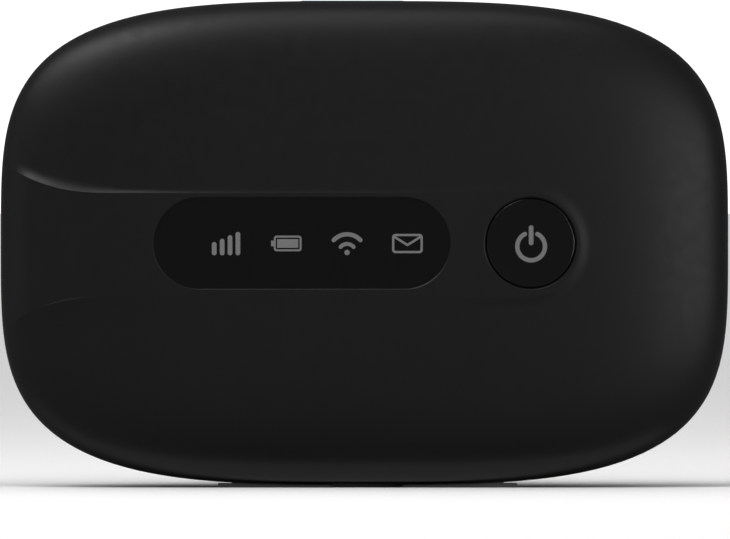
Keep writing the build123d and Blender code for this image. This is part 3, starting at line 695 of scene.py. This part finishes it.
def noise(tree, scale, detail=4.0, stretch=(1, 1, 1)):
    """A noise texture in object space; scale is in waves per metre."""
    place = tree.nodes.new("ShaderNodeTexCoord")
    mapping = tree.nodes.new("ShaderNodeMapping")
    mapping.inputs["Scale"].default_value = stretch
    texture = tree.nodes.new("ShaderNodeTexNoise")
    texture.inputs["Scale"].default_value = scale
    texture.inputs["Detail"].default_value = detail
    tree.links.new(place.outputs["Object"], mapping.inputs["Vector"])
    tree.links.new(mapping.outputs["Vector"], texture.inputs["Vector"])
    return texture.outputs["Fac"]


def spread(tree, value, low, high):
    """Maps the middle of a noise, where most of it lies, onto a range."""
    node = tree.nodes.new("ShaderNodeMapRange")
    node.inputs["From Min"].default_value, node.inputs["From Max"].default_value = NOISE_RANGE
    node.inputs["To Min"].default_value = low
    node.inputs["To Max"].default_value = high
    tree.links.new(value, node.inputs["Value"])
    return node.outputs["Result"]


def blend_colours(tree, value, first, second):
    node = tree.nodes.new("ShaderNodeMix")
    node.data_type = "RGBA"
    node.inputs["A"].default_value = (*first, 1)
    node.inputs["B"].default_value = (*second, 1)
    tree.links.new(value, node.inputs["Factor"])
    return node.outputs["Result"]


def bump(tree, shader, value, strength, depth):
    node = tree.nodes.new("ShaderNodeBump")
    node.inputs["Strength"].default_value = strength
    node.inputs["Distance"].default_value = depth
    tree.links.new(value, node.inputs["Height"])
    tree.links.new(node.outputs["Normal"], shader.inputs["Normal"])


def grey(value):
    return value, value, value


def scaled(colour, factor):
    return tuple(min(1.0, c * factor) for c in colour)


def plastic(name, colour, roughness, grain=5200.0, grain_strength=0.12, variation=0.1):
    """Moulded plastic: slight colour drift, uneven sheen and a fine moulded grain."""
    material, tree, shader = node_material(name)
    drift = spread(tree, noise(tree, 90.0, 3.0), 0.0, 1.0)
    colours = blend_colours(tree, drift, scaled(colour, 1 - variation), scaled(colour, 1 + variation))
    tree.links.new(colours, shader.inputs["Base Color"])
    sheen = spread(tree, noise(tree, 700.0, 5.0), roughness - 0.03, roughness + 0.03)
    tree.links.new(sheen, shader.inputs["Roughness"])
    bump(tree, shader, noise(tree, grain, 2.0), grain_strength, RELIEF)
    return material


def metal(name, colour, roughness, stretch=(1, 1, 30)):
    """Rolled or plated metal with fine lines, which run across the axis that is stretched most."""
    material, tree, shader = node_material(name)
    lines = noise(tree, 900.0, 6.0, stretch)
    colours = blend_colours(tree, spread(tree, lines, 0, 1), scaled(colour, 0.86), scaled(colour, 1.06))
    tree.links.new(colours, shader.inputs["Base Color"])
    tree.links.new(spread(tree, lines, roughness - 0.08, roughness + 0.08), shader.inputs["Roughness"])
    shader.inputs["Metallic"].default_value = 1.0
    bump(tree, shader, lines, 0.15, RELIEF)
    return material


def board_material():
    """Solder mask over copper tracks: fine stepped lines under a green gloss."""
    material, tree, shader = node_material("board_green")
    tracks = tree.nodes.new("ShaderNodeTexBrick")
    place = tree.nodes.new("ShaderNodeTexCoord")
    turn = tree.nodes.new("ShaderNodeMapping")
    turn.inputs["Rotation"].default_value = (math.pi / 2, 0, 0)
    tracks.inputs["Scale"].default_value = 420.0
    tracks.inputs["Mortar Size"].default_value = 0.09
    tracks.inputs["Color1"].default_value = (0.008, 0.075, 0.035, 1)
    tracks.inputs["Color2"].default_value = (0.010, 0.095, 0.045, 1)
    tracks.inputs["Mortar"].default_value = (0.022, 0.17, 0.075, 1)
    tree.links.new(place.outputs["Object"], turn.inputs["Vector"])
    tree.links.new(turn.outputs["Vector"], tracks.inputs["Vector"])
    tree.links.new(tracks.outputs["Color"], shader.inputs["Base Color"])
    tree.links.new(spread(tree, noise(tree, 400.0), 0.28, 0.4), shader.inputs["Roughness"])
    bump(tree, shader, tracks.outputs["Fac"], 0.3, 2 * RELIEF)
    return material


def paper_material():
    """Blank label stock with faint fibres."""
    material, tree, shader = node_material("label_white")
    fibres = noise(tree, 2500.0, 8.0, (1, 1, 6))
    colours = blend_colours(tree, spread(tree, fibres, 0, 1), (0.62, 0.62, 0.60), (0.70, 0.70, 0.68))
    tree.links.new(colours, shader.inputs["Base Color"])
    tree.links.new(spread(tree, fibres, 0.5, 0.65), shader.inputs["Roughness"])
    bump(tree, shader, fibres, 0.2, RELIEF)
    return material


def all_materials():
    """One material for each of the record's slots, by the slot's name. Each row starts with the colour
    and the roughness. A plastic's may go on with its grain, the grain's strength and the colour's
    variation, and a metal's with the stretch of its lines."""
    plastics = {
        "case_black": (grey(0.0102), 0.42),
        "cover_black": (grey(0.0102), 0.46),
        "strip_grey": ((0.3, 0.3, 0.303), 0.5),
        "window_gloss": ((0.0044, 0.0044, 0.0046), 0.1, 300.0, 0.01, 0.04),
        "button_gloss": ((0.0044, 0.0044, 0.0046), 0.16, 900.0, 0.02, 0.04),
        "button_satin": ((0.03, 0.03, 0.031), 0.4),
        "icon_grey": (grey(0.41), 0.45, 3000.0, 0.05, 0.05),
        "adhesive": (grey(0.01), 0.8, 3000.0, 0.5),
        "foam_black": (grey(0.012), 0.7, 4000.0, 0.6),
        "clear_plastic": ((0.6, 0.62, 0.64), 0.3, 2000.0, 0.1, 0.04),
        "led": ((0.75, 0.68, 0.35), 0.2, 2500.0, 0.05),
        "switch_plastic": ((0.02, 0.02, 0.022), 0.5),
        "chip_black": ((0.014, 0.014, 0.015), 0.55, 6000.0, 0.4),
        "thermal_pad": ((0.33, 0.38, 0.42), 0.7, 2500.0, 0.5),
        "ceramic": ((0.32, 0.2, 0.11), 0.6, 3000.0, 0.3),
        "carrier_plastic": ((0.6, 0.59, 0.55), 0.5, 3000.0, 0.2),
        "battery_wrap": ((0.045, 0.05, 0.06), 0.3, 1800.0, 0.1, 0.12),
        "card_white": (grey(0.72), 0.35, 3500.0, 0.08, 0.04),
    }
    metals = {
        "switch_steel": (grey(0.6), 0.35),
        "can_steel": ((0.66, 0.66, 0.64), 0.3),
        "contact_gold": ((0.83, 0.6, 0.25), 0.25),
        "antenna_copper": ((0.78, 0.46, 0.3), 0.3, (30, 1, 1)),
        "screw_steel": ((0.5, 0.5, 0.52), 0.28),
    }
    made = {name: plastic(name, *values) for name, values in plastics.items()}
    made.update({name: metal(name, *values) for name, values in metals.items()})
    made.update({"board_green": board_material(), "label_white": paper_material()})
    return made


def dress(materials, skin):
    """Gives each node, and the new front shell, the material of its slot."""
    for entry in frame["record"]["subparts"]:
        mesh = frame["nodes"][entry["node"]].data
        mesh.materials.clear()
        mesh.materials.append(materials[entry["material_slot"]])
    skin.data.materials.append(materials["case_black"])


# ---------------------------------------------------------------- stage, lights and camera

def camera_ray_switch(tree, unseen, seen):
    """One value for the camera's own rays and another for every other ray."""
    path = tree.nodes.new("ShaderNodeLightPath")
    mix = tree.nodes.new("ShaderNodeMix")
    mix.inputs["A"].default_value = unseen
    mix.inputs["B"].default_value = seen
    tree.links.new(path.outputs["Is Camera Ray"], mix.inputs["Factor"])
    return mix.outputs["Result"]


def floor():
    """A plain white floor that takes the object's soft shadow and throws little light back at it.
    Its colour also carries painted shade: ambient occlusion darkens it near the object, as a floor under a
    wide soft light would be darkened."""
    corners = [(FLOOR_REACH * x, FLOOR_REACH * y, 0) for x, y in ((-1, -1), (1, -1), (1, 1), (-1, 1))]
    mesh = bpy.data.meshes.new("floor")
    mesh.from_pydata(corners, [], [(0, 1, 2, 3)])
    piece = placed("floor", mesh)
    material, tree, shader = node_material("floor_white")
    tone = camera_ray_switch(tree, FLOOR_UNSEEN, FLOOR_SEEN)
    # Painted shade: ambient occlusion darkens the floor's colour near the object, down to DEEPEST_SHADE.
    painted_shade_occlusion = tree.nodes.new("ShaderNodeAmbientOcclusion")
    painted_shade_occlusion.inputs["Distance"].default_value = SHADE_DISTANCE
    painted_shade_factor = tree.nodes.new("ShaderNodeMapRange")
    painted_shade_factor.inputs["To Min"].default_value = DEEPEST_SHADE
    tree.links.new(painted_shade_occlusion.outputs["AO"], painted_shade_factor.inputs["Value"])
    shaded = tree.nodes.new("ShaderNodeMath")
    shaded.operation = "MULTIPLY"
    tree.links.new(tone, shaded.inputs[0])
    tree.links.new(painted_shade_factor.outputs["Result"], shaded.inputs[1])
    tint = tree.nodes.new("ShaderNodeCombineColor")
    for channel in ("Red", "Green", "Blue"):
        tree.links.new(shaded.outputs["Value"], tint.inputs[channel])
    tree.links.new(tint.outputs["Color"], shader.inputs["Base Color"])
    shader.inputs["Roughness"].default_value = 0.9
    shader.inputs["Specular IOR Level"].default_value = 0.0
    mesh.materials.append(material)
    return piece


def floor_light(piece):
    """A very wide soft light from above and in front, for the floor alone."""
    lamp = bpy.data.lights.new("floor_light", "SUN")
    lamp.angle = FLOOR_LIGHT_WIDTH
    lamp.energy = FLOOR_LIGHT_POWER
    holder = placed("floor_light", lamp)
    holder.rotation_euler = (FLOOR_LIGHT_TILT, 0, 0)
    lit = bpy.data.collections.new("lit_by_floor_light")
    lit.objects.link(piece)
    holder.light_linking.receiver_collection = lit


def world():
    """White to the camera and dim to the object."""
    made = bpy.data.worlds.new("studio")
    scene.world = made
    made.use_nodes = True
    tree = made.node_tree
    background = tree.nodes["Background"]
    background.inputs["Color"].default_value = (1, 1, 1, 1)
    strength = camera_ray_switch(tree, WORLD_UNSEEN, WORLD_SEEN)
    tree.links.new(strength, background.inputs["Strength"])


def soft_light(name, width, depth, power, place, rotation):
    """A rectangular light that the camera doesn't see."""
    lamp = bpy.data.lights.new(name, "AREA")
    lamp.shape = "RECTANGLE"
    lamp.size = width
    lamp.size_y = depth
    lamp.energy = power
    holder = placed(name, lamp)
    holder.location = place
    holder.rotation_euler = rotation
    holder.visible_camera = False


def softbox(name, from_front, turn, power):
    """A square softbox aimed at the object's middle. from_front is the angle between it and the
    camera's side, and turn is the way it stands off: 0 to the right, 90 above, 180 to the left."""
    tilt, round_axis = math.radians(from_front), math.radians(turn)
    aside = math.sin(tilt)
    away = Vector((aside * math.cos(round_axis), -math.cos(tilt), aside * math.sin(round_axis)))
    place = Vector((0, 0, CENTRE_Z * MM)) + SOFTBOX_DISTANCE * away
    rotation = (-away).to_track_quat("-Z", "Y").to_euler()
    soft_light(name, SOFTBOX_SIZE, SOFTBOX_SIZE, power, place, rotation)


def table_card(name, place, width, depth, power):
    """A low reflector lying on the table and facing up."""
    soft_light(name, width, depth, power, place, (math.pi, 0, 0))


def lights():
    """Softboxes above, on the left and on the right, and two cards on the table. The rounded rims
    catch them."""
    softbox("upper_left_high", 65, 115, 0.74)
    softbox("upper_left_side", 78, 135, 0.26)
    softbox("upper_left_front", 55, 135, 0.09)
    softbox("top", 80, 90, 0.2)
    softbox("right_middle", 55, 0, 0.35)
    softbox("right_front", 33, 14, 0.18)
    softbox("upper_right_front", 50, 45, 0.03)
    softbox("left_side", 80, 178, 0.045)
    table_card("right_card", (0.22, -0.3, 0.001), 0.2, 0.2, 0.42)
    table_card("rim_card", (-0.008, -0.0045, 0.0006), 0.1, 0.004, 0.0003)


def camera():
    """Nearly straight on, far enough back that the view is nearly parallel."""
    lens = bpy.data.cameras.new("camera")
    lens.sensor_width = SENSOR_WIDTH
    lens.lens = SENSOR_WIDTH * CAMERA_DISTANCE / VIEW_WIDTH
    holder = placed("camera", lens)
    back = CAMERA_DISTANCE * math.cos(CAMERA_RAISED)
    rise = CAMERA_DISTANCE * math.sin(CAMERA_RAISED)
    holder.location = (CAMERA_X, -back, CAMERA_HEIGHT + rise)
    holder.rotation_euler = (math.pi / 2 - CAMERA_RAISED, 0, 0)
    scene.camera = holder


scene.view_settings.view_transform = "Standard"
camera()
world()
lights()
floor_light(floor())
dress(all_materials(), front_shell())
